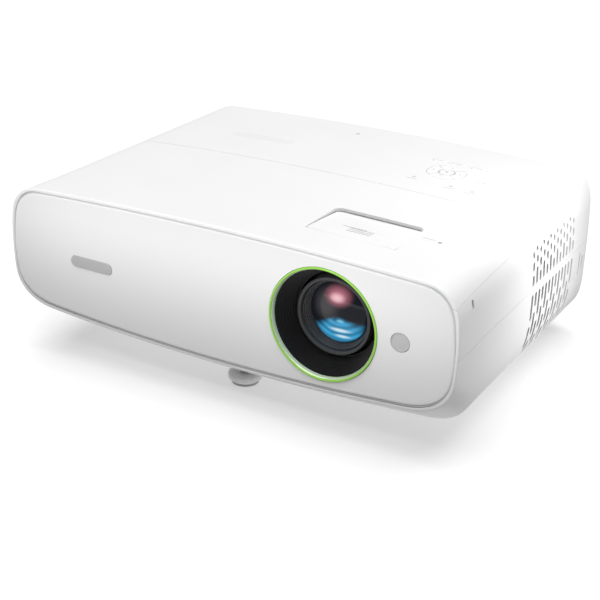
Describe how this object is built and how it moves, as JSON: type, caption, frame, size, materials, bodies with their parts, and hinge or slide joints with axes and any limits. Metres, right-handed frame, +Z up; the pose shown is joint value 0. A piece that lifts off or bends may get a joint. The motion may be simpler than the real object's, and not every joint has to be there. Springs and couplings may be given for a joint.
{
  "type": "home projector",
  "caption": "White lamp projector with an offset zoom lens in a green trim ring, a sliding lens door, a keypad, side grilles and screw-adjusted feet.",
  "frame": {"origin": "on the ground, under the middle of the case's box", "axes": "+X right seen from the front (the lens is at +X), +Y from the front to the back, +Z up"},
  "size_m": [0.3528, 0.26, 0.1326],
  "materials": {
    "shell": "satin",
    "foot_wheel": "satin",
    "front": "satin",
    "badge": "satin",
    "ir_plastic": "satin",
    "green_trim": "gloss",
    "black_plastic": "matte",
    "lens_glass": "coated",
    "key_plastic": "satin",
    "light_guide": "gloss",
    "casting": "cast",
    "heatsink": "extruded",
    "circuit_board": "soldermask",
    "chip_window": "coated",
    "mirror": "polished",
    "filter_glass": "coated",
    "motor_steel": "brushed",
    "lamp_cage": "matte",
    "quartz": "clear",
    "rear_plastic": "satin",
    "socket_steel": "nickel plated",
    "inlet_plastic": "matte",
    "fan_plastic": "matte",
    "speaker_cone": "paper"
  },
  "bodies": {
    "root": {"lower_case": "shell", "upper_case": "shell", "top_cover": "shell", "front_panel": "front", "front_badge": "badge", "ir_window": "ir_plastic", "lens_trim_ring": "green_trim", "lens_hood": "black_plastic", "lens_barrel": "black_plastic", "rear_lens_glass": "lens_glass", "engine_housing": "casting", "dmd_board": "circuit_board", "dmd_chip": "chip_window", "dmd_heatsink": "heatsink", "fold_mirror": "mirror", "relay_lens": "lens_glass", "light_tunnel": "mirror", "color_wheel_motor": "motor_steel", "lamp_housing": "lamp_cage", "lamp_reflector": "mirror", "lamp_burner": "quartz", "power_board": "circuit_board", "ballast_board": "circuit_board", "main_board": "circuit_board", "keypad_board": "circuit_board", "ir_board": "circuit_board", "light_guide": "light_guide", "rear_panel": "rear_plastic", "hdmi_sockets": "socket_steel", "usb_socket": "socket_steel", "vga_socket": "socket_steel", "mains_inlet": "inlet_plastic", "exhaust_fan_frame": "fan_plastic", "intake_fan_frame": "fan_plastic", "speaker": "speaker_cone"},
    "lens_door": {"lens_door": "shell"},
    "zoom_ring": {"zoom_ring": "black_plastic"},
    "zoom_group": {"zoom_lens_cell": "black_plastic", "zoom_lens_glass": "lens_glass"},
    "focus_ring": {"focus_ring": "black_plastic"},
    "front_group": {"front_lens_cell": "black_plastic", "front_lens_glass": "lens_glass"},
    "color_wheel": {"color_wheel": "filter_glass"},
    "exhaust_rotor": {"exhaust_fan_rotor": "fan_plastic"},
    "intake_rotor": {"intake_fan_rotor": "fan_plastic"},
    "right_key": {"right_key": "key_plastic"},
    "up_key": {"up_key": "key_plastic"},
    "left_key": {"left_key": "key_plastic"},
    "down_key": {"down_key": "key_plastic"},
    "ok_key": {"ok_key": "key_plastic"},
    "power_key": {"power_key": "key_plastic"},
    "menu_key": {"menu_key": "key_plastic"},
    "source_key": {"source_key": "key_plastic"},
    "back_key": {"back_key": "key_plastic"},
    "front_foot_stem": {"front_foot_stem": "motor_steel"},
    "front_foot": {"front_foot": "foot_wheel"},
    "rear_left_foot_stem": {"rear_left_foot_stem": "motor_steel"},
    "rear_left_foot": {"rear_left_foot": "foot_wheel"},
    "rear_right_foot_stem": {"rear_right_foot_stem": "motor_steel"},
    "rear_right_foot": {"rear_right_foot": "foot_wheel"}
  },
  "joints": [
    {"name": "lens_door_slide", "type": "slide", "parent": "root", "child": "lens_door", "axis": [0, 0.995, -0.0995], "range_m": [0, 0.033]},
    {"name": "focus_turn", "type": "hinge", "parent": "root", "child": "focus_ring", "pos_m": [0.0812, -0.087, 0.0826], "axis": [0, 1, 0], "range_deg": [-25, 25]},
    {"name": "focus_travel", "type": "slide", "parent": "root", "child": "front_group", "axis": [0, 1, 0], "range_m": [-0.002, 0.002]},
    {"name": "zoom_turn", "type": "hinge", "parent": "root", "child": "zoom_ring", "pos_m": [0.0812, -0.0695, 0.0826], "axis": [0, 1, 0], "range_deg": [-20, 20]},
    {"name": "zoom_travel", "type": "slide", "parent": "root", "child": "zoom_group", "axis": [0, 1, 0], "range_m": [-0.008, 0.008]},
    {"name": "color_wheel_spin", "type": "hinge", "parent": "root", "child": "color_wheel", "pos_m": [-0.018, -0.024, 0.047], "axis": [1, 0, 0], "continuous": true},
    {"name": "exhaust_fan_spin", "type": "hinge", "parent": "root", "child": "exhaust_rotor", "pos_m": [-0.155, -0.024, 0.068], "axis": [1, 0, 0], "continuous": true},
    {"name": "intake_fan_spin", "type": "hinge", "parent": "root", "child": "intake_rotor", "pos_m": [0.157, 0.044, 0.066], "axis": [1, 0, 0], "continuous": true},
    {"name": "right_key_press", "type": "slide", "parent": "root", "child": "right_key", "axis": [0, 0, -1], "range_m": [0, 0.0008], "stiffness_N_per_m": 900, "springref_m": -0.0006},
    {"name": "up_key_press", "type": "slide", "parent": "root", "child": "up_key", "axis": [0, 0, -1], "range_m": [0, 0.0008], "stiffness_N_per_m": 900, "springref_m": -0.0006},
    {"name": "left_key_press", "type": "slide", "parent": "root", "child": "left_key", "axis": [0, 0, -1], "range_m": [0, 0.0008], "stiffness_N_per_m": 900, "springref_m": -0.0006},
    {"name": "down_key_press", "type": "slide", "parent": "root", "child": "down_key", "axis": [0, 0, -1], "range_m": [0, 0.0008], "stiffness_N_per_m": 900, "springref_m": -0.0006},
    {"name": "ok_key_press", "type": "slide", "parent": "root", "child": "ok_key", "axis": [0, 0, -1], "range_m": [0, 0.0008], "stiffness_N_per_m": 900, "springref_m": -0.0006},
    {"name": "power_key_press", "type": "slide", "parent": "root", "child": "power_key", "axis": [0, 0, -1], "range_m": [0, 0.0008], "stiffness_N_per_m": 900, "springref_m": -0.0006},
    {"name": "menu_key_press", "type": "slide", "parent": "root", "child": "menu_key", "axis": [0, 0, -1], "range_m": [0, 0.0008], "stiffness_N_per_m": 900, "springref_m": -0.0006},
    {"name": "source_key_press", "type": "slide", "parent": "root", "child": "source_key", "axis": [0, 0, -1], "range_m": [0, 0.0008], "stiffness_N_per_m": 900, "springref_m": -0.0006},
    {"name": "back_key_press", "type": "slide", "parent": "root", "child": "back_key", "axis": [0, 0, -1], "range_m": [0, 0.0008], "stiffness_N_per_m": 900, "springref_m": -0.0006},
    {"name": "front_foot_extend", "type": "slide", "parent": "root", "child": "front_foot_stem", "axis": [0, 0, -1], "range_m": [-0.003, 0.02]},
    {"name": "front_foot_turn", "type": "hinge", "parent": "front_foot_stem", "child": "front_foot", "pos_m": [-0.003, -0.086, 0.005], "axis": [0, 0, -1], "range_deg": [-740, 4820]},
    {"name": "rear_left_foot_extend", "type": "slide", "parent": "root", "child": "rear_left_foot_stem", "axis": [0, 0, -1], "range_m": [-0.003, 0.01]},
    {"name": "rear_left_foot_turn", "type": "hinge", "parent": "rear_left_foot_stem", "child": "rear_left_foot", "pos_m": [-0.141, 0.112, 0.005], "axis": [0, 0, -1], "range_deg": [-884, 2900]},
    {"name": "rear_right_foot_extend", "type": "slide", "parent": "root", "child": "rear_right_foot_stem", "axis": [0, 0, -1], "range_m": [-0.003, 0.01]},
    {"name": "rear_right_foot_turn", "type": "hinge", "parent": "rear_right_foot_stem", "child": "rear_right_foot", "pos_m": [0.141, 0.112, 0.005], "axis": [0, 0, -1], "range_deg": [-884, 2900]}
  ],
  "couplings": [
    {"joint": "focus_travel", "follows": "focus_turn", "m_per_rad": 0.004354},
    {"joint": "zoom_travel", "follows": "zoom_turn", "m_per_rad": 0.022345},
    {"joint": "front_foot_turn", "follows": "front_foot_extend", "rad_per_m": 4188.8},
    {"joint": "rear_left_foot_turn", "follows": "rear_left_foot_extend", "rad_per_m": 5026.5},
    {"joint": "rear_right_foot_turn", "follows": "rear_right_foot_extend", "rad_per_m": 5026.5}
  ]
}
